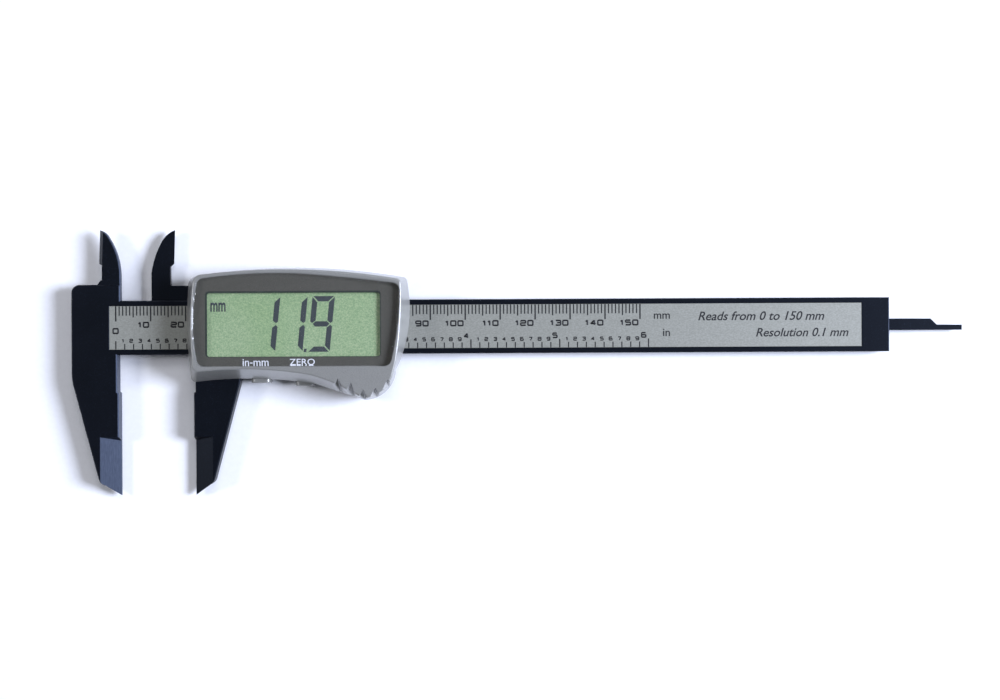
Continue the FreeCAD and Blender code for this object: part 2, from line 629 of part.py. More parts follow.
# ---------------------------------------------------------------- the whole caliper
def make_all():
    parts = {
        "beam": make_beam(),
        "scale_board": make_scale_board(),
        "scale_electrodes": make_scale_electrodes(),
        "scale_label": make_scale_label(),
        "end_stop": make_end_stop(),
        "end_stop_screws": make_end_stop_screws(),
        "slider_frame": make_slider_frame(),
        "rear_cover": make_rear_cover(),
        "housing_screws": make_housing_screws(),
        "depth_rod": make_depth_rod(),
        "depth_rod_screws": make_depth_rod_screws(),
        "gib_spring": make_gib_spring(),
        "battery_door": make_battery_door(),
        "cell_can": make_cell_can(),
        "cell_cap": make_cell_cap(),
        "cell_seal": make_cell_seal(),
        "positive_contact": make_positive_contact(),
        "negative_contact": make_negative_contact(),
        "main_board": make_main_board(),
        "sensor_electrodes": make_sensor_electrodes(),
        "controller_chip": make_controller_chip(),
        "capacitors": make_capacitors(),
        "resistors": make_resistors(),
        "crystal": make_crystal(),
        "lcd_front_glass": make_lcd_front_glass(),
        "lcd_rear_glass": make_lcd_rear_glass(),
        "lcd_reflector": make_lcd_reflector(),
        "lcd_polarizer": make_lcd_polarizer(),
        "upper_elastomer": make_elastomer(GLASS[1] - 1.4, GLASS[3] - 1.6, GLASS[3] - 0.2),
        "lower_elastomer": make_elastomer(63.2, GLASS[2] + 0.2, GLASS[2] + 1.6),
        "lcd_frame": make_lcd_frame(),
        "lcd_gasket": make_lcd_gasket(),
        "display_window": make_display_window(),
        "window_mask": make_window_mask(),
        "window_adhesive": make_window_adhesive(),
        "front_housing": make_front_housing(),
    }
    for name in BUTTON_X:
        parts[name + "_button"] = make_button(name)
        parts[name + "_switch_case"] = make_switch_case(name)
        parts[name + "_switch_plunger"] = make_switch_plunger(name)
    return parts


def main():
    os.makedirs("parts", exist_ok=True)
    for name, shape in make_all().items():
        solids = shape.Solids
        shape = solids[0] if len(solids) == 1 else group(solids)
        shape.translate(PLACE)
        ok = shape.isValid() and all(s.Volume > 0 for s in solids)
        print(f"{name:24s} solids {len(solids):3d} volume {shape.Volume:10.2f} {'ok' if ok else 'BAD'}")
        shape.exportStep(os.path.join("parts", name + ".step"))


main()
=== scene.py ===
# %% [markdown]
# # A digital caliper, from a frame of parts to a finished picture
# This script never moves those parts. It gives them finishes, makes rounded copies of the ones that
# show, and adds what is printed: the scales, the display's figures and the lettering.

# %% Load the frame
import json
import math

import bpy
from mathutils import Matrix, Vector


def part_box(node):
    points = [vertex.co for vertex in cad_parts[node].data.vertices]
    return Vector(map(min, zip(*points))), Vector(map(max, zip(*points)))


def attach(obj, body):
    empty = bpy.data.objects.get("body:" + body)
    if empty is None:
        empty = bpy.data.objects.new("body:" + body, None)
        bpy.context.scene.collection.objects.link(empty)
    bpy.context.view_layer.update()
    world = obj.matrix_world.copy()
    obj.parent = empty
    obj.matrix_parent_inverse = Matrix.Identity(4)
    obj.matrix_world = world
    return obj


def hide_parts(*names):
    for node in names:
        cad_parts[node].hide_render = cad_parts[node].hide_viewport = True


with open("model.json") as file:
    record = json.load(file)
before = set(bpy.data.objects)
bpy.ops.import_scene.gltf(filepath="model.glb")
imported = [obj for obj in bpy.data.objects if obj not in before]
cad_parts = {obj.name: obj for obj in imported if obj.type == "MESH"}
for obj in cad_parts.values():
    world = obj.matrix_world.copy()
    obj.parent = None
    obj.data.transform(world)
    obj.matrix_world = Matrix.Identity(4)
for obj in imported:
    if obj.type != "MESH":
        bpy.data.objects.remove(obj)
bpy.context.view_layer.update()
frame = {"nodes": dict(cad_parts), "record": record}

# %% [markdown]
# ## One place to measure from
# A caliper is read from its fixed measuring face, so that face is x = 0 here, the middle of the beam
# is y = 0, and the table that it lies on is z = 0. Every size below is in millimetres from there,
# and `at()` turns it into metres in the frame.

# %% Datum
MM = 0.001
MOUNTS = {mount["name"]: mount for mount in frame["record"]["mounts"]}
FACE_X = MOUNTS["fixed_jaw_face"]["pos_m"][0]
LABEL_LOW, LABEL_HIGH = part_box("scale_label")
CENTRE_Y = (LABEL_LOW.y + LABEL_HIGH.y) / 2


def at(x, y, z):
    return Vector((FACE_X + x * MM, CENTRE_Y + y * MM, z * MM))


def height_of(node):
    """The height of a part's upper face, in millimetres."""
    low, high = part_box(node)
    return high.z / MM


print("beam centre at y =", round(CENTRE_Y, 5), "m; label face at", round(height_of("scale_label"), 2), "mm")

# %% [markdown]
# ## Small tools
# Blender's operators act on whatever is selected, so `take()` first lets go of everything and then
# holds one object. `settle()` writes an object's place into its mesh and leaves the object itself at
# the origin, which keeps patterns from sliding when the caliper's slider moves.

# %% Tools for objects
def take(*objects):
    bpy.ops.object.select_all(action="DESELECT")
    for thing in objects:
        thing.select_set(True)
    bpy.context.view_layer.objects.active = objects[0]


def settle(thing):
    take(thing)
    bpy.ops.object.transform_apply(location=True, rotation=True, scale=True)
    return thing


def apply_modifier(thing, kind, **settings):
    take(thing)
    modifier = thing.modifiers.new(kind.title(), kind)
    for name, value in settings.items():
        setattr(modifier, name, value)
    bpy.ops.object.modifier_apply(modifier=modifier.name)


def join(name, pieces):
    take(*pieces)
    if len(pieces) > 1:
        bpy.ops.object.join()
    whole = bpy.context.view_layer.objects.active
    whole.name = name
    whole.data.name = name
    return settle(whole)


def finish_piece(piece, material, body, slot, *nodes):
    """Gives a piece its one material and the body it moves with, and hides the parts it stands for."""
    piece.data.materials.clear()
    piece.data.materials.append(material)
    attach(piece, body)
    if nodes:
        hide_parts(*nodes)
    return piece


def body_of(node):
    groups = frame["record"]["behaviour"]["bodies"]
    return next(body for body, members in groups.items() if node in members)


# %% [markdown]
# ## Tools for materials
# A colour is written as the hex value that a colour chart gives, and `colour()` turns it into the
# linear values that the renderer adds light with. `add_node()` is the only helper for shader nodes:
# it sets what it is given, and links whatever is itself a node's output.

# %% Tools for materials
def colour(code):
    def linear(part):
        value = int(part, 16) / 255
        return value / 12.92 if value <= 0.04045 else ((value + 0.055) / 1.055) ** 2.4
    return (linear(code[1:3]), linear(code[3:5]), linear(code[5:7]), 1.0)


def add_node(tree, kind, settings=(), **inputs):
    node = tree.nodes.new("ShaderNode" + kind)
    for name, value in dict(settings).items():
        setattr(node, name, value)
    for name, value in inputs.items():
        key = int(name[1:]) if name[0] == "_" else name.replace("_", " ")
        if isinstance(value, bpy.types.NodeSocket):
            tree.links.new(value, node.inputs[key])
        else:
            node.inputs[key].default_value = value
    return node


def new_material(name, **values):
    """A material with one Principled shader. values are its sockets, such as Roughness=0.4."""
    material = bpy.data.materials.new(name)
    material.use_nodes = True
    tree = material.node_tree
    surface = tree.nodes["Principled BSDF"]
    for key, value in values.items():
        surface.inputs[key.replace("_", " ")].default_value = value
    place = add_node(tree, "TexCoord").outputs["Object"]
    return material, tree, surface, place


def ramp(tree, factor, stops):
    node = add_node(tree, "ValToRGB", Fac=factor)
    band = node.color_ramp
    while len(band.elements) < len(stops):
        band.elements.new(0.5)
    for element, (position, code) in zip(band.elements, stops):
        element.position = position
        element.color = colour(code)
    return node.outputs["Color"]


def blended(tree, first, second, factor=1.0, how="MULTIPLY"):
    """Two colours mixed. Each is a node's output or a plain colour."""
    settings = {"data_type": "RGBA", "blend_type": how}
    return add_node(tree, "Mix", settings, _0=factor, _6=first, _7=second).outputs[2]


def grain_bump(tree, surface, place, size_mm, depth_mm, detail=2.0):
    """A fine moulded or sprayed grain, as a bump of that size and depth."""
    noise = add_node(tree, "TexNoise", Vector=place, Scale=1 / (size_mm * MM), Detail=detail)
    bump = add_node(tree, "Bump", Height=noise.outputs["Fac"], Distance=depth_mm * MM, Strength=1.0)
    tree.links.new(bump.outputs["Normal"], surface.inputs["Normal"])


# %% [markdown]
# ## The black composite
# Beam, jaws and slider are moulded in a thermoplastic filled with short carbon fibres. It is nearly
# black with a blue cast, satin rather than glossy, and the fibre ends near the skin show as small
# paler flecks. The fibres are 10 microns thick, which no picture shows, so the flecks are drawn at
# about a third of a millimetre. On the beam, every face that leans towards +X, the side the window lamp
# lights, is made a paler bluish grey. Part of that is the fixed jaw's measuring side, which grinding after
# moulding pales by cutting through the fibres. The rest is painted light on all faces and edges on that
# side.

# %% Composite
FLECK_MM = 0.34
CLOUD_MM = 9
SCORE_MM = 0.25
FLECK_TONES = [(0.40, "#07090d"), (0.60, "#0b0e14"), (0.72, "#232934")]
GROUND_AND_LIT_SIDE_TONES = [(0.3, "#2b313e"), (0.7, "#39404e")]


def ground_faces(tree, place, skin):
    """The skin's colour, made paler on faces that lean towards +X: grinding there, and painted light on that
    lit side.
    """
    lie = add_node(tree, "TexCoord").outputs["Normal"]
    across = add_node(tree, "SeparateXYZ", Vector=lie).outputs["X"]
    # Faces leaning towards +X, towards the window lamp, take the paler tone: painted light on that side, as
    # well as the grinding on the measuring faces.
    cut = add_node(tree, "MapRange", Value=across, From_Min=0.03, From_Max=0.09)
    scored = add_node(tree, "Mapping", Vector=place, Scale=(1, 0.15, 1)).outputs["Vector"]
    score = add_node(tree, "TexNoise", Vector=scored, Scale=1 / (SCORE_MM * MM), Detail=2.0)
    pale = ramp(tree, score.outputs["Fac"], GROUND_AND_LIT_SIDE_TONES)
    return blended(tree, skin, pale, cut.outputs["Result"], "MIX")


def moulded_composite(name, ground_and_lit_side=False):
    material, tree, surface, place = new_material(
        name, IOR=1.45, Specular_Tint=colour("#c3d2ee"), Specular_IOR_Level=0.33)
    flecks = add_node(tree, "TexNoise", Vector=place, Scale=1 / (FLECK_MM * MM), Detail=3.0,
                      Roughness=0.7).outputs["Fac"]
    clouds = add_node(tree, "TexNoise", Vector=place, Scale=1 / (CLOUD_MM * MM), Detail=2.0)
    cloud_tone = ramp(tree, clouds.outputs["Fac"], [(0.3, "#d8d8d8"), (0.7, "#ffffff")])
    skin = blended(tree, ramp(tree, flecks, FLECK_TONES), cloud_tone)
    if ground_and_lit_side:
        skin = ground_faces(tree, place, skin)
    tree.links.new(skin, surface.inputs["Base Color"])
    gloss = add_node(tree, "MapRange", Value=flecks, To_Min=0.42, To_Max=0.32)
    tree.links.new(gloss.outputs["Result"], surface.inputs["Roughness"])
    grain_bump(tree, surface, place, 0.22, 0.006)
    return material


COMPOSITE = moulded_composite("Carbon-filled thermoplastic, moulded")
GROUND_AND_LIT_SIDE_COMPOSITE = moulded_composite("Carbon-filled thermoplastic, moulded and ground", ground_and_lit_side=True)
print("made", COMPOSITE.name, "and", GROUND_AND_LIT_SIDE_COMPOSITE.name)

# %% [markdown]
# ## The satin aluminium scale
# The scale is a strip of thin aluminium, etched matt and anodised before the black figures are
# printed on it. Etching leaves a fine grain, a little longer along the strip than across it, which
# drives the tone, the roughness and a very shallow bump. The anodic layer is clear and glassy, so
# the metal doesn't mirror the room: the shader is only about a third metal.

# %% Scale finishes
def anodised_aluminium():
    material, tree, surface, place = new_material("Anodised aluminium, satin etched", Metallic=0.35)
    along = add_node(tree, "Mapping", Vector=place, Scale=(0.6, 1, 1))
    grain = add_node(tree, "TexNoise", Vector=along.outputs["Vector"], Scale=1 / (0.3 * MM), Detail=3.0)
    base = ramp(tree, grain.outputs["Fac"], [(0.25, "#8b8c84"), (0.5, "#96978e"), (0.75, "#a2a39b")])
    tree.links.new(base, surface.inputs["Base Color"])
    gloss = add_node(tree, "MapRange", Value=grain.outputs["Fac"], To_Min=0.40, To_Max=0.56)
    tree.links.new(gloss.outputs["Result"], surface.inputs["Roughness"])
    bump = add_node(tree, "Bump", Height=grain.outputs["Fac"], Distance=0.002 * MM)
    tree.links.new(bump.outputs["Normal"], surface.inputs["Normal"])
    return material


def printing_ink(name, code, roughness):
    """Screen-printed ink: even colour, with the faint mottle that a mesh screen leaves."""
    material, tree, surface, place = new_material(name, Roughness=roughness)
    mottle = add_node(tree, "TexNoise", Vector=place, Scale=1 / (0.25 * MM), Detail=1.0)
    shade = ramp(tree, mottle.outputs["Fac"], [(0.2, "#d0d0d0"), (0.8, "#ffffff")])
    tree.links.new(blended(tree, colour(code), shade), surface.inputs["Base Color"])
    return material


ALUMINIUM = anodised_aluminium()
BLACK_INK = printing_ink("Screen-printed black ink", "#0d0e11", 0.6)
WHITE_INK = printing_ink("Screen-printed white ink", "#eceef4", 0.5)
OPENING_SHADOW_INK = printing_ink("Painted shadow round the display opening, black-green", "#1f2a22", 0.5)
print("made", ALUMINIUM.name)

# %% [markdown]
# ## The silver housing
# The display head is ABS, sprayed silver. The paint holds fine aluminium flakes under a clear
# binder, so it is part metal in the shader, has a soft spread of highlight, and a trace of
# orange peel about a millimetre across.

# %% Housing paint
def silver_paint():
    material, tree, surface, place = new_material(
        "ABS, sprayed silver", Metallic=0.2, IOR=1.5, Coat_Weight=0.5, Coat_Roughness=0.11)
    flakes = add_node(tree, "TexVoronoi", Vector=place, Scale=1 / (0.12 * MM))
    base = ramp(tree, flakes.outputs["Distance"], [(0.1, "#9b9b96"), (0.8, "#858581")])
    tree.links.new(base, surface.inputs["Base Color"])
    gloss = add_node(tree, "MapRange", Value=flakes.outputs["Distance"], To_Min=0.30, To_Max=0.42)
    tree.links.new(gloss.outputs["Result"], surface.inputs["Roughness"])
    grain_bump(tree, surface, place, 1.1, 0.004, 1.0)
    return material


SILVER = silver_paint()
print("made", SILVER.name)

# %% [markdown]
# ## Window, mask and liquid crystal
# The window is clear acrylic. Real acrylic bends light, and lamps can't be traced through it well, so
# rays to a lamp, and rays that have bounced off a matt surface, pass straight through. What the eye
# sees is still bent. Behind it a dark grey mask is printed, with the display's opening left clear.
# The liquid-crystal cell is greenish because of its polarizer, slightly mottled by the matt foil that
# reflects light back through it.

# %% Window and display finishes
def clear_acrylic():
    material, tree, surface, place = new_material(
        "Acrylic, polished clear", IOR=1.49, Roughness=0.02, Transmission_Weight=1.0,
        Base_Color=colour("#f6f8f6"))
    straight = add_node(tree, "BsdfTransparent")
    path = add_node(tree, "LightPath")
    plain = add_node(tree, "Math", {"operation": "MAXIMUM"})
    tree.links.new(path.outputs["Is Shadow Ray"], plain.inputs[0])
    tree.links.new(path.outputs["Is Diffuse Ray"], plain.inputs[1])
    choice = add_node(tree, "MixShader", Fac=plain.outputs[0])
    tree.links.new(surface.outputs[0], choice.inputs[1])
    tree.links.new(straight.outputs[0], choice.inputs[2])
    tree.links.new(choice.outputs[0], tree.nodes["Material Output"].inputs["Surface"])
    grain_bump(tree, surface, place, 6.0, 0.0015, 0.0)
    return material


def liquid_crystal():
    material, tree, surface, place = new_material("Liquid-crystal cell, antiglare film", Roughness=0.45)
    foil = add_node(tree, "TexNoise", Vector=place, Scale=1 / (0.5 * MM), Detail=4.0, Roughness=0.75)
    drift = add_node(tree, "TexNoise", Vector=place, Scale=1 / (22 * MM), Detail=1.0)
    near = ramp(tree, foil.outputs["Fac"], [(0.36, "#7b956d"), (0.5, "#92a881"), (0.64, "#a8b590")])
    far = ramp(tree, drift.outputs["Fac"], [(0.35, "#eef6ea"), (0.65, "#ffffff")])
    tree.links.new(blended(tree, near, far), surface.inputs["Base Color"])
    return material


ACRYLIC = clear_acrylic()
MASK_PRINT = printing_ink("Screen-printed mask, dark grey", "#55534c", 0.5)
CRYSTAL_FILM = liquid_crystal()
SEGMENT_INK = printing_ink("Liquid crystal, switched on", "#33383d", 0.5)
print("made", ACRYLIC.name, "and", CRYSTAL_FILM.name)

# %% [markdown]
# ## Inner and small parts
# Most of the parts are sealed inside, but each is still something real: plated steel, copper on a
# board, silicone, glass or ceramic. They share one pattern of work, a base colour broken up by a
# noise at the size of that material's own texture, so one function takes the few values that differ.

# %% Plain finishes
def speckled(name, dark, light, grain_mm, roughness, metallic=0.0, depth_mm=0.002):
    material, tree, surface, place = new_material(name, Roughness=roughness, Metallic=metallic)
    noise = add_node(tree, "TexNoise", Vector=place, Scale=1 / (grain_mm * MM), Detail=3.0)
    tone = ramp(tree, noise.outputs["Fac"], [(0.3, dark), (0.7, light)])
    tree.links.new(tone, surface.inputs["Base Color"])
    grain_bump(tree, surface, place, grain_mm, depth_mm)
    return material


PLAIN = {
    "board": speckled("Glass-epoxy board, green solder mask", "#0f4a26", "#17663a", 0.6, 0.35),
    "copper": speckled("Copper, etched", "#b8714a", "#c98660", 0.3, 0.35, 1.0),
    "nickel": speckled("Steel, nickel plated", "#b9b8b3", "#cfcec9", 0.5, 0.25, 1.0),
    "black_steel": speckled("Steel, zinc plated black", "#3a3b3f", "#4b4c50", 0.2, 0.35, 1.0),
    "bronze": speckled("Phosphor bronze, rolled", "#b98d55", "#c99f66", 0.3, 0.3, 1.0),
    "silicone": speckled("Silicone rubber, layered", "#c08a88", "#d19e9b", 0.2, 0.6),
    "foam": speckled("Foam rubber, black", "#15151a", "#24242a", 0.15, 0.85, 0.0, 0.02),
    "nylon": speckled("Nylon, moulded", "#33343a", "#3f4047", 0.4, 0.45),
    "white_plastic": speckled("ABS, natural white", "#d8d7d0", "#e4e3dc", 0.5, 0.4),
    "epoxy": speckled("Epoxy, black dome", "#0c0c0e", "#17171a", 0.8, 0.2),
    "ceramic": speckled("Ceramic, fired", "#8d6a45", "#a17c55", 0.1, 0.5),
    "resistor": speckled("Ceramic, glazed black", "#101012", "#1d1d20", 0.1, 0.4),
    "glass": speckled("Soda-lime glass, coated", "#93ab88", "#9db592", 4.0, 0.05),
    "foil": speckled("Aluminium foil, matt", "#9aa59a", "#b0bab0", 0.2, 0.5, 1.0),
    "adhesive": speckled("Acrylic film adhesive", "#3a3a38", "#444442", 0.4, 0.6),
}
print("plain finishes:", len(PLAIN))

# %% Finishes on the engineering parts
FINISHES = {
    COMPOSITE: ("beam", "end_stop", "slider_frame", "rear_cover", "depth_rod", "battery_door"),
    ALUMINIUM: ("scale_label",),
    ACRYLIC: ("display_window",),
    MASK_PRINT: ("window_mask",),
    CRYSTAL_FILM: ("lcd_polarizer",),
    PLAIN["board"]: ("scale_board", "main_board"),
    PLAIN["copper"]: ("scale_electrodes", "sensor_electrodes"),
    PLAIN["nickel"]: ("cell_can", "cell_cap", "positive_contact", "negative_contact", "crystal",
                      "housing_screws", "depth_rod_screws"),
    PLAIN["black_steel"]: ("end_stop_screws",),
    PLAIN["bronze"]: ("gib_spring",),
    PLAIN["silicone"]: ("upper_elastomer", "lower_elastomer"),
    PLAIN["foam"]: ("lcd_gasket",),
    PLAIN["nylon"]: ("cell_seal", "unit_switch_case", "zero_switch_case"),
    PLAIN["white_plastic"]: ("lcd_frame", "unit_switch_plunger", "zero_switch_plunger"),
    PLAIN["epoxy"]: ("controller_chip",),
    PLAIN["ceramic"]: ("capacitors",),
    PLAIN["resistor"]: ("resistors",),
    PLAIN["glass"]: ("lcd_front_glass", "lcd_rear_glass"),
    PLAIN["foil"]: ("lcd_reflector",),
    PLAIN["adhesive"]: ("window_adhesive",),
    SILVER: ("front_housing", "unit_button", "zero_button"),
}
for finish, nodes in FINISHES.items():
    for node in nodes:
        part = frame["nodes"][node]
        part.data.materials.clear()
        part.data.materials.append(finish)
print("finished parts:", sum(len(nodes) for nodes in FINISHES.values()))

# %% [markdown]
# ## Rounded copies of the parts that show
# Nothing that is moulded or stamped has a perfectly sharp edge, and it is that small rounding which
# catches the light. An engineering part arrives as loose triangles and is left alone, so this takes
# a copy, welds its corners, clears the lines that only split flat faces, and then bevels every sharp
# edge by a real radius. The housing's fillets are in the engineering model, so its radius is 0 here.

# %% Rounded copies
def rounded_copy(node, name, material, radius_mm, smooth_below=24):
    copy = bpy.data.objects.new(name, frame["nodes"][node].data.copy())
    bpy.context.scene.collection.objects.link(copy)
    take(copy)
    bpy.ops.object.mode_set(mode="EDIT")
    bpy.ops.mesh.select_all(action="SELECT")
    bpy.ops.mesh.remove_doubles(threshold=1e-6)
    bpy.ops.mesh.dissolve_limited(angle_limit=math.radians(0.4))
    bpy.ops.object.mode_set(mode="OBJECT")
    if radius_mm > 0:
        apply_modifier(copy, "BEVEL", width=radius_mm * MM, segments=3, limit_method="ANGLE",
                       angle_limit=math.radians(40), use_clamp_overlap=True)
    take(copy)
    bpy.ops.object.shade_smooth_by_angle(angle=math.radians(smooth_below))
    apply_modifier(copy, "WEIGHTED_NORMAL", keep_sharp=True, weight=100)
    finish_piece(copy, material, body_of(node), node, node)
    print(name, "faces:", len(copy.data.polygons))
    return copy


rounded_copy("beam", "beam_moulding", GROUND_AND_LIT_SIDE_COMPOSITE, 0.14)
rounded_copy("slider_frame", "slider_moulding", COMPOSITE, 0.08)
rounded_copy("rear_cover", "rear_cover_moulding", COMPOSITE, 0.12)
rounded_copy("battery_door", "battery_door_moulding", COMPOSITE, 0.08)
rounded_copy("end_stop", "end_stop_moulding", COMPOSITE, 0.12)
rounded_copy("depth_rod", "depth_rod_blade", COMPOSITE, 0.1)
rounded_copy("front_housing", "front_shell", SILVER, 0, smooth_below=42)
rounded_copy("display_window", "window_pane", ACRYLIC, 0.08)
for button in ("unit", "zero"):
    rounded_copy(button + "_button", button + "_button_cap", SILVER, 0.06, smooth_below=42)

# %% [markdown]
# ## The scale's lines
# A caliper's scale is screen printed: lines of black ink two hundredths of a millimetre thick. One
# line of each length is modelled, a plane stretched to its size and extruded by the ink's thickness,
# and then it is copied along the strip, a millimetre or a tenth of an inch at a time.

# %% Printed lines
INK_MM = 0.02
STRIP_TOP = height_of("scale_label")
STRIP_HALF = (LABEL_HIGH.y - LABEL_LOW.y) / 2 / MM
STRIP_MARGIN = 0.05         # bare metal between the lines and the strip's long edges
ZERO_X = -0.75              # where the scale starts, a little left of the measuring face
INCH_MM = 25.4
MM_LINE = (3.5, 0.33)       # for each kind of line, how far across the strip it ends, and its width
FIVE_MM_LINE = (3.0, 0.35)
TEN_MM_LINE = (1.85, 0.4)
TENTH_LINE = (-4.6, 0.31)
INCH_LINE = (-3.75, 0.34)


def ink_line(y_low, y_high, width):
    """One line at the scale's zero."""
    bpy.ops.object.select_all(action="DESELECT")
    bpy.ops.mesh.primitive_plane_add(size=1, location=at(ZERO_X, (y_low + y_high) / 2, STRIP_TOP))
    line = bpy.context.object
    line.scale = (width * MM, (y_high - y_low) * MM, 1)
    settle(line)
    bpy.ops.object.mode_set(mode="EDIT")
    bpy.ops.mesh.select_all(action="SELECT")
    bpy.ops.mesh.extrude_region_move(TRANSFORM_OT_translate={"value": (0, 0, INK_MM * MM)})
    bpy.ops.mesh.select_all(action="SELECT")
    bpy.ops.mesh.normals_make_consistent(inside=False)
    bpy.ops.object.mode_set(mode="OBJECT")
    return line


def repeat_along(line, steps_mm):
    """Copies one line to each of these distances along the strip, and lets the first one go."""
    copies = []
    for step in steps_mm:
        copy = bpy.data.objects.new("line", line.data.copy())
        copy.data.transform(Matrix.Translation((step * MM, 0, 0)))
        bpy.context.scene.collection.objects.link(copy)
        copies.append(copy)
    bpy.data.objects.remove(line)
    return copies


def from_upper_edge(kind, steps_mm):
    end, width = kind
    return repeat_along(ink_line(end, STRIP_HALF - STRIP_MARGIN, width), steps_mm)


def from_lower_edge(kind, steps_mm):
    end, width = kind
    return repeat_along(ink_line(-STRIP_HALF + STRIP_MARGIN, end, width), steps_mm)


def millimetre_lines():
    lines = from_upper_edge(MM_LINE, [n for n in range(151) if n % 5])
    lines += from_upper_edge(FIVE_MM_LINE, range(5, 151, 10))
    return lines + from_upper_edge(TEN_MM_LINE, range(0, 151, 10))


def inch_lines():
    tenths = [n * INCH_MM / 10 for n in range(61)]
    lines = from_lower_edge(TENTH_LINE, [x for n, x in enumerate(tenths) if n % 10])
    return lines + from_lower_edge(INCH_LINE, tenths[::10])


for name, lines in (("millimetre_lines", millimetre_lines()), ("inch_lines", inch_lines())):
    print(name, "lines:", len(lines))
    finish_piece(join(name, lines), BLACK_INK, "beam", "scale_label")

# %% [markdown]
# ## The scale's figures
# The figures are squared and wide, drawn with a pen of even thickness, so each is a few strokes on a
# unit square and no font is needed. A curve follows every stroke, its corners eased, with a bevel as
# wide as the pen. Pressed flat to the ink's thickness, it becomes the mesh.

# %% Printed figures
STROKES = {
    "0": [((0, 0), (0, 1), (1, 1), (1, 0), (0, 0))],
    "1": [((0, 0.72), (0.34, 1), (0.34, 0))],
    "2": [((0, 0.86), (0, 1), (1, 1), (1, 0.5), (0, 0.5), (0, 0), (1, 0))],
    "3": [((0, 1), (1, 1), (1, 0), (0, 0)), ((0.3, 0.52), (1, 0.52))],
    "4": [((0.76, 0), (0.76, 1), (0, 0.3), (1, 0.3))],
    "5": [((0.95, 1), (0, 1), (0, 0.56), (1, 0.56), (1, 0), (0, 0))],
    "6": [((0.95, 1), (0, 1), (0, 0), (1, 0), (1, 0.54), (0, 0.54))],
    "7": [((0, 1), (1, 1), (0.4, 0))],
    "8": [((0, 0), (0, 1), (1, 1), (1, 0), (0, 0)), ((0, 0.52), (1, 0.52))],
    "9": [((0.05, 0), (1, 0), (1, 1), (0, 1), (0, 0.46), (1, 0.46))],
}


def eased(points, cut):
    """A stroke with each corner replaced by three points of a small arc."""
    points = [Vector(point) for point in points]
    closed = points[0] == points[-1]
    if closed:
        points = points[:-1]
    result = []
    for index, point in enumerate(points):
        if not closed and index in (0, len(points) - 1):
            result.append(point)
            continue
        back = (points[index - 1] - point).normalized() * cut
        on = (points[(index + 1) % len(points)] - point).normalized() * cut
        result += [point + back, point + (back + on) * 0.29, point + on]
    return result, closed


def add_stroke(curve, points, closed):
    spline = curve.splines.new("POLY")
    spline.points.add(len(points) - 1)
    for target, point in zip(spline.points, points):
        target.co = (point.x, point.y, 0, 1)
    spline.use_cyclic_u = closed


ONE_WIDTH = 0.55        # how much of a figure's width a 1 takes
SPACING = 1.45          # the gap between two figures, in widths of the pen
CORNER = 0.16           # how far back a corner is eased, in heights of a figure


def figures(name, pen, words):
    """words: (figure, right-hand edge, foot, height, width of a figure), all in millimetres."""
    curve = bpy.data.curves.new(name, "CURVE")
    curve.dimensions = "3D"
    curve.bevel_depth = pen / 2 * MM
    curve.bevel_resolution = 0
    curve.use_fill_caps = True
    for text, right, foot, height, width in words:
        x = right - pen / 2
        for digit in reversed(text):
            tall, wide = height - pen, width - pen
            x -= wide * (ONE_WIDTH if digit == "1" else 1)
            for stroke in STROKES[digit]:
                placed = [((x + u * wide) * MM, (foot + pen / 2 + v * tall) * MM) for u, v in stroke]
                add_stroke(curve, *eased(placed, CORNER * tall * MM))
            x -= pen * SPACING
    drawing = bpy.data.objects.new(name, curve)
    bpy.context.scene.collection.objects.link(drawing)
    take(drawing)
    bpy.ops.object.convert(target="MESH")
    drawing.location = at(0, 0, STRIP_TOP + INK_MM / 2)
    drawing.scale = (1, 1, INK_MM / pen)
    settle(drawing)
    print(name, "faces:", len(drawing.data.polygons))
    return finish_piece(drawing, BLACK_INK, "beam", "scale_label")


MM_TALL, MM_WIDE = 1.78, 1.86
INCH_TALL, INCH_WIDE = 1.68, 1.6
TENTH_TALL, TENTH_WIDE = 1.18, 1.14
zero = ("0", ZERO_X + 0.9, -1.78, MM_TALL, MM_WIDE)
tens = [(str(n), ZERO_X + n - 0.42, -0.02, MM_TALL, MM_WIDE) for n in range(10, 151, 10)]
inches = [(str(n), ZERO_X + n * INCH_MM - 0.55, -3.55, INCH_TALL, INCH_WIDE) for n in range(1, 7)]
tenths = [(str(n % 10), ZERO_X + n * INCH_MM / 10 - 0.1, -4.28, TENTH_TALL, TENTH_WIDE)
          for n in range(1, 60) if n % 10]
figures("millimetre_figures", 0.45, [zero] + tens)
figures("inch_figures", 0.42, inches)
figures("tenth_figures", 0.3, tenths)

# %% [markdown]
# ## Lettering
# The unit signs, two slanted lines of facts and the names of the two buttons are plain sans-serif
# letters, so Blender's own typeface will do. The text is made a mesh first and only then fitted to
# its place, because a text object's place can't be written into it.

# %% Lettering
def lettering(name, words, left, right, foot, z, material, body, slot, tall=None, **style):
    """Words from left to right, standing on foot. tall fixes their height; otherwise it follows."""
    bpy.ops.object.select_all(action="DESELECT")
    bpy.ops.object.text_add(location=(0, 0, 0))
    text = bpy.context.object
    text.data.body = words
    text.data.resolution_u = 4
    text.data.extrude = 0.5
    for key, value in style.items():
        setattr(text.data, key, value)
    take(text)
    bpy.ops.object.convert(target="MESH")
    across = [corner.co.x for corner in text.data.vertices]
    up = [corner.co.y for corner in text.data.vertices]
    wide = (right - left) / (max(across) - min(across))
    high = tall / max(up) if tall else wide
    text.scale = (wide * MM, high * MM, INK_MM * MM)
    text.location = at(left - min(across) * wide, foot, z + INK_MM / 2)
    settle(text)
    text.name = name
    print(name, "height:", round(max(up) * high, 2), "mm")
    return finish_piece(text, material, body, slot)


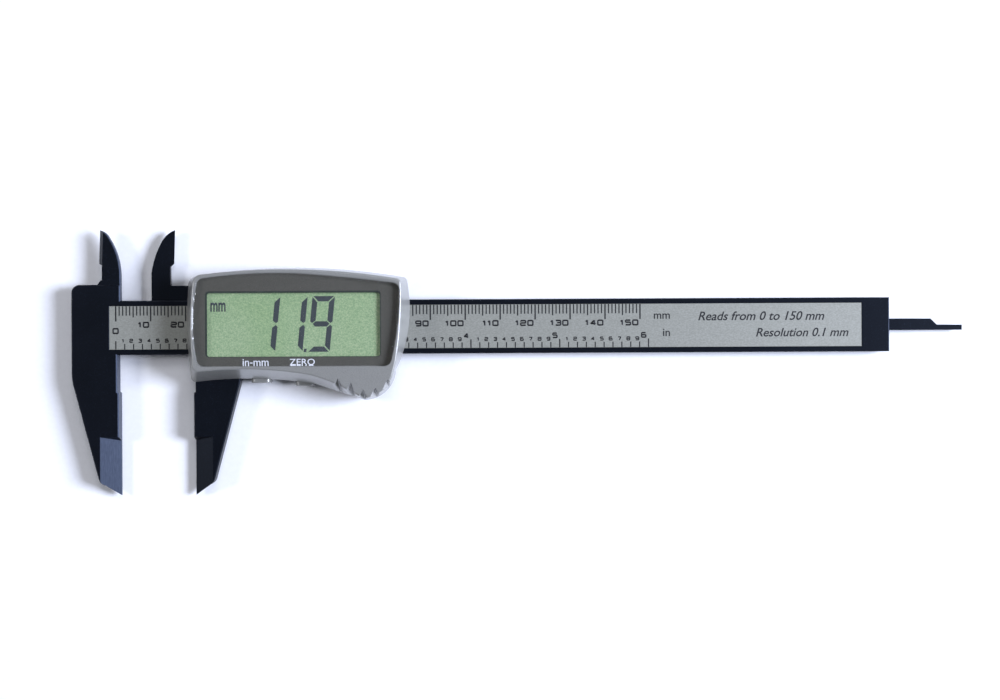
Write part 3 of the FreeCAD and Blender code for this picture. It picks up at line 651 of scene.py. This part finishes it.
on_strip = {"z": STRIP_TOP, "material": BLACK_INK, "body": "beam", "slot": "scale_label"}
lettering("millimetre_sign", "mm", 153.2, 157.8, 1.9, offset=0.01, **on_strip)
lettering("inch_sign", "in", 155.8, 157.8, -3.05, offset=0.01, **on_strip)
lettering("range_line", "Reads from 0 to 150 mm", 165.9, 202.0, 1.4, shear=0.28, offset=0.012, **on_strip)
lettering("step_line", "Resolution 0.1 mm", 182.4, 208.9, -3.3, shear=0.28, offset=0.012, **on_strip)

# %% [markdown]
# ## What is printed on the window, and a painted shadow
# The mask carries the buttons' names in white. They are printed on the window's back before the grey
# is, so they lie on the front of the mask. A black-green band round the display's opening, widest at
# the top and left, lies there too. It is painted shadow: the shade that the mask's edge casts into the
# opening.

# %% Window printing
PRINT_Z = height_of("window_mask") - INK_MM / 2
on_mask = {"z": PRINT_Z, "material": WHITE_INK, "body": "slider", "slot": "window_mask", "offset": 0.006}
NAME_FOOT = -10.75
NAME_TALL = 1.72
lettering("unit_button_name", "in-mm", 36.8, 44.1, NAME_FOOT, tall=NAME_TALL, **on_mask)
lettering("zero_button_name", "ZERO", 50.0, 57.1, NAME_FOOT, tall=NAME_TALL, **on_mask)

OPENING_X = (26.85, 75.45)
OPENING_Y = (-8.4, 9.55)
SHADOW_LEFT, SHADOW_RIGHT = 0.55, 0.22      # the painted shadow's width on each side of the opening
SHADOW_BELOW, SHADOW_ABOVE = 0.12, 0.5
LAP = 0.01                                  # how far it reaches in over the opening's edge


def flat_shape(name, outlines, z, thick):
    """A flat plate of one or more closed outlines, in millimetres; one inside another is a hole."""
    curve = bpy.data.curves.new(name, "CURVE")
    curve.dimensions = "2D"
    curve.fill_mode = "BOTH"
    curve.extrude = thick / 2 * MM
    for outline in outlines:
        add_stroke(curve, [Vector((x * MM, y * MM)) for x, y in outline], True)
    plate = bpy.data.objects.new(name, curve)
    bpy.context.scene.collection.objects.link(plate)
    take(plate)
    bpy.ops.object.convert(target="MESH")
    plate.location = at(0, 0, z + thick / 2)
    return settle(plate)


def eased_box(x0, x1, y0, y1, radius):
    return eased([(x0, y0), (x1, y0), (x1, y1), (x0, y1), (x0, y0)], radius)[0]


# A dark band round the opening, widest at the top and left: painted shadow at the opening's edge.
shadow_band = flat_shape("opening_shadow_band", [
    eased_box(OPENING_X[0] - SHADOW_LEFT, OPENING_X[1] + SHADOW_RIGHT,
              OPENING_Y[0] - SHADOW_BELOW, OPENING_Y[1] + SHADOW_ABOVE, 0.9),
    eased_box(OPENING_X[0] + LAP, OPENING_X[1] - LAP, OPENING_Y[0] + LAP, OPENING_Y[1] - LAP, 0.6),
], PRINT_Z, INK_MM)
finish_piece(shadow_band, OPENING_SHADOW_INK, "slider", "window_mask")

# %% [markdown]
# ## The liquid-crystal figures
# Seven segments make each figure. They lean a few degrees to the right, and their ends are cut at 45
# degrees so that a narrow gap of even width is left between them. Each figure is drawn upright from
# its own width and height and then leaned by moving its points sideways in proportion to their height.

# %% Display figures
FIGURE_W, FIGURE_H = 6.3, 15.7
BAR = 1.5               # width of a segment
GAP = 0.24              # between two segments
FIGURE_FOOT = -7.1
LEAN = math.tan(math.radians(5.7))
LIT = {"1": "bc", "9": "abcdfg"}
DISPLAY = (("tens", "1", 47.4), ("units", "1", 55.1), ("tenths", "9", 62.75))   # upper right corners
DECIMAL_POINT = [(53.85, -7.15), (54.6, -7.15), (54.75, -6.2), (54.0, -6.2)]


def segments():
    """The seven segments of an upright figure whose lower left corner is at 0, 0."""
    w, h, mid, half = FIGURE_W, FIGURE_H, FIGURE_H / 2, BAR / 2
    nose = BAR * 0.35
    top = [(GAP, h), (w - GAP, h), (w - BAR - GAP, h - BAR), (BAR + GAP, h - BAR)]
    upper_right = [(w, h - GAP), (w, mid + GAP + nose), (w - nose, mid + GAP),
                   (w - BAR, mid + half + GAP), (w - BAR, h - BAR - GAP)]
    middle = [(nose + GAP, mid), (nose + GAP + half, mid + half), (w - nose - GAP - half, mid + half),
              (w - nose - GAP, mid), (w - nose - GAP - half, mid - half), (nose + GAP + half, mid - half)]

    def across(shape):
        return [(w - x, y) for x, y in shape]

    def down(shape):
        return [(x, h - y) for x, y in shape]

    return {"a": top, "b": upper_right, "c": down(upper_right), "d": down(top),
            "e": down(across(upper_right)), "f": across(upper_right), "g": middle}


def lean_to(shape, left):
    return [(left + x + y * LEAN, FIGURE_FOOT + y) for x, y in shape]


CRYSTAL_TOP = height_of("lcd_polarizer")
shapes = segments()
for place_name, figure, right_top in DISPLAY:
    left = right_top - FIGURE_W - FIGURE_H * LEAN
    lit = [lean_to(shapes[letter], left) for letter in LIT[figure]]
    display_figure = flat_shape(place_name + "_figure", lit, CRYSTAL_TOP, INK_MM)
    finish_piece(display_figure, SEGMENT_INK, "slider", "lcd_polarizer")
    print(place_name, "figure shows", figure, "with", len(lit), "segments")

point = flat_shape("decimal_point", [DECIMAL_POINT], CRYSTAL_TOP, INK_MM)
finish_piece(point, SEGMENT_INK, "slider", "lcd_polarizer")
lettering("display_unit", "mm", 27.65, 31.95, 4.45, CRYSTAL_TOP, SEGMENT_INK, "slider", "lcd_polarizer",
          tall=2.5, offset=0.026)

# %% [markdown]
# ## Stage, lamps and camera
# The caliper lies on a pale sheet. A large cool lamp stands on the right like a window, and lights
# whatever faces it: the jaw's thinned tip, the housing's right-hand wall and one side of each flute.
# Weak lamps on the left and behind draw the edges there. Nothing bright hangs straight above,
# where the camera is, so the black moulding stays black.

# %% Stage
bpy.ops.object.select_all(action="DESELECT")
SHEET_M = 6
bpy.ops.mesh.primitive_plane_add(size=SHEET_M)
floor = bpy.context.object
floor.name = "paper_sheet"
paper, paper_tree, paper_surface, paper_place = new_material("Paper sheet, matt white", Roughness=0.95)
fibres = add_node(paper_tree, "TexNoise", Vector=paper_place, Scale=1 / (1.5 * MM), Detail=3.0)
tone = ramp(paper_tree, fibres.outputs["Fac"], [(0.3, "#f9f9f9"), (0.7, "#fdfdfd")])
paper_tree.links.new(tone, paper_surface.inputs["Base Color"])
paper_surface.inputs["Specular IOR Level"].default_value = 0.1
floor.data.materials.append(paper)


def soft_lamp(name, position, size, power, tint):
    data = bpy.data.lights.new(name, "AREA")
    data.shape = "DISK"
    data.size = size
    data.energy = power
    data.color = colour(tint)[:3]
    lamp = bpy.data.objects.new(name, data)
    bpy.context.scene.collection.objects.link(lamp)
    lamp.location = position
    lamp.rotation_euler = (-Vector(position)).to_track_quat("-Z", "Y").to_euler()


soft_lamp("window_lamp", (1.0, 0.05, 0.7), 0.55, 31, "#e0e8ff")
soft_lamp("left_lamp", (-0.85, 0.1, 0.62), 0.24, 3.2, "#f3f5ff")
soft_lamp("back_lamp", (0.1, 0.65, 1.0), 0.5, 2.6, "#f3f5ff")
world = bpy.data.worlds.new("soft_room")
world.use_nodes = True
background = world.node_tree.nodes["Background"]
background.inputs["Color"].default_value = colour("#eaf0ff")
background.inputs["Strength"].default_value = 0.12
bpy.context.scene.world = world
bpy.context.scene.view_settings.view_transform = "Standard"

# %% Camera
CAMERA_MM = (109.15, -6.84, 417)
CAMERA_TURN = math.radians(-0.28)
camera_data = bpy.data.cameras.new("camera")
camera_data.lens = 51.8
camera_data.sensor_width = 36
camera = bpy.data.objects.new("camera", camera_data)
bpy.context.scene.collection.objects.link(camera)
camera.location = at(*CAMERA_MM)
camera.rotation_euler = (0, 0, CAMERA_TURN)
bpy.context.scene.camera = camera
